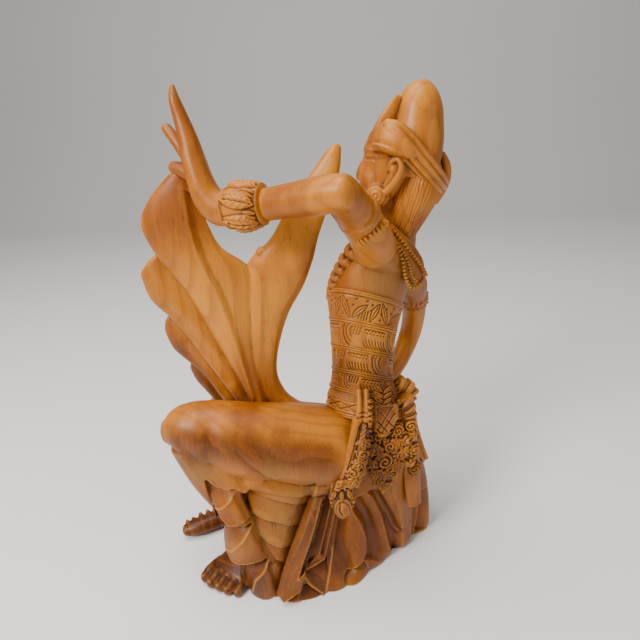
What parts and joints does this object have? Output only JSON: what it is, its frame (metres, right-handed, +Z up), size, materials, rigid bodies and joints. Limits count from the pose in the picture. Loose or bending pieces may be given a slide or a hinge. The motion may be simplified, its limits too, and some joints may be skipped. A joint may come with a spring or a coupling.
{
  "type": "carved wooden dancer figure",
  "caption": "Carved wooden figure of a crouching temple dancer with a raised fan of cloth lobes, tall headdress and pleated train, standing on its own flat underside.",
  "frame": {"origin": "middle of the box round the figure, seen from above, on the surface that it stands on", "axes": "+Z up, -X the way the dancer faces, -Y her left side, which the reference view shows"},
  "size_m": [0.2024, 0.1354, 0.3332],
  "materials": {
    "carved_wood": "hand-carved hardwood, oiled and rubbed to a satin sheen"
  },
  "bodies": {
    "root": {"legong_dancer": "carved_wood"}
  },
  "joints": []
}
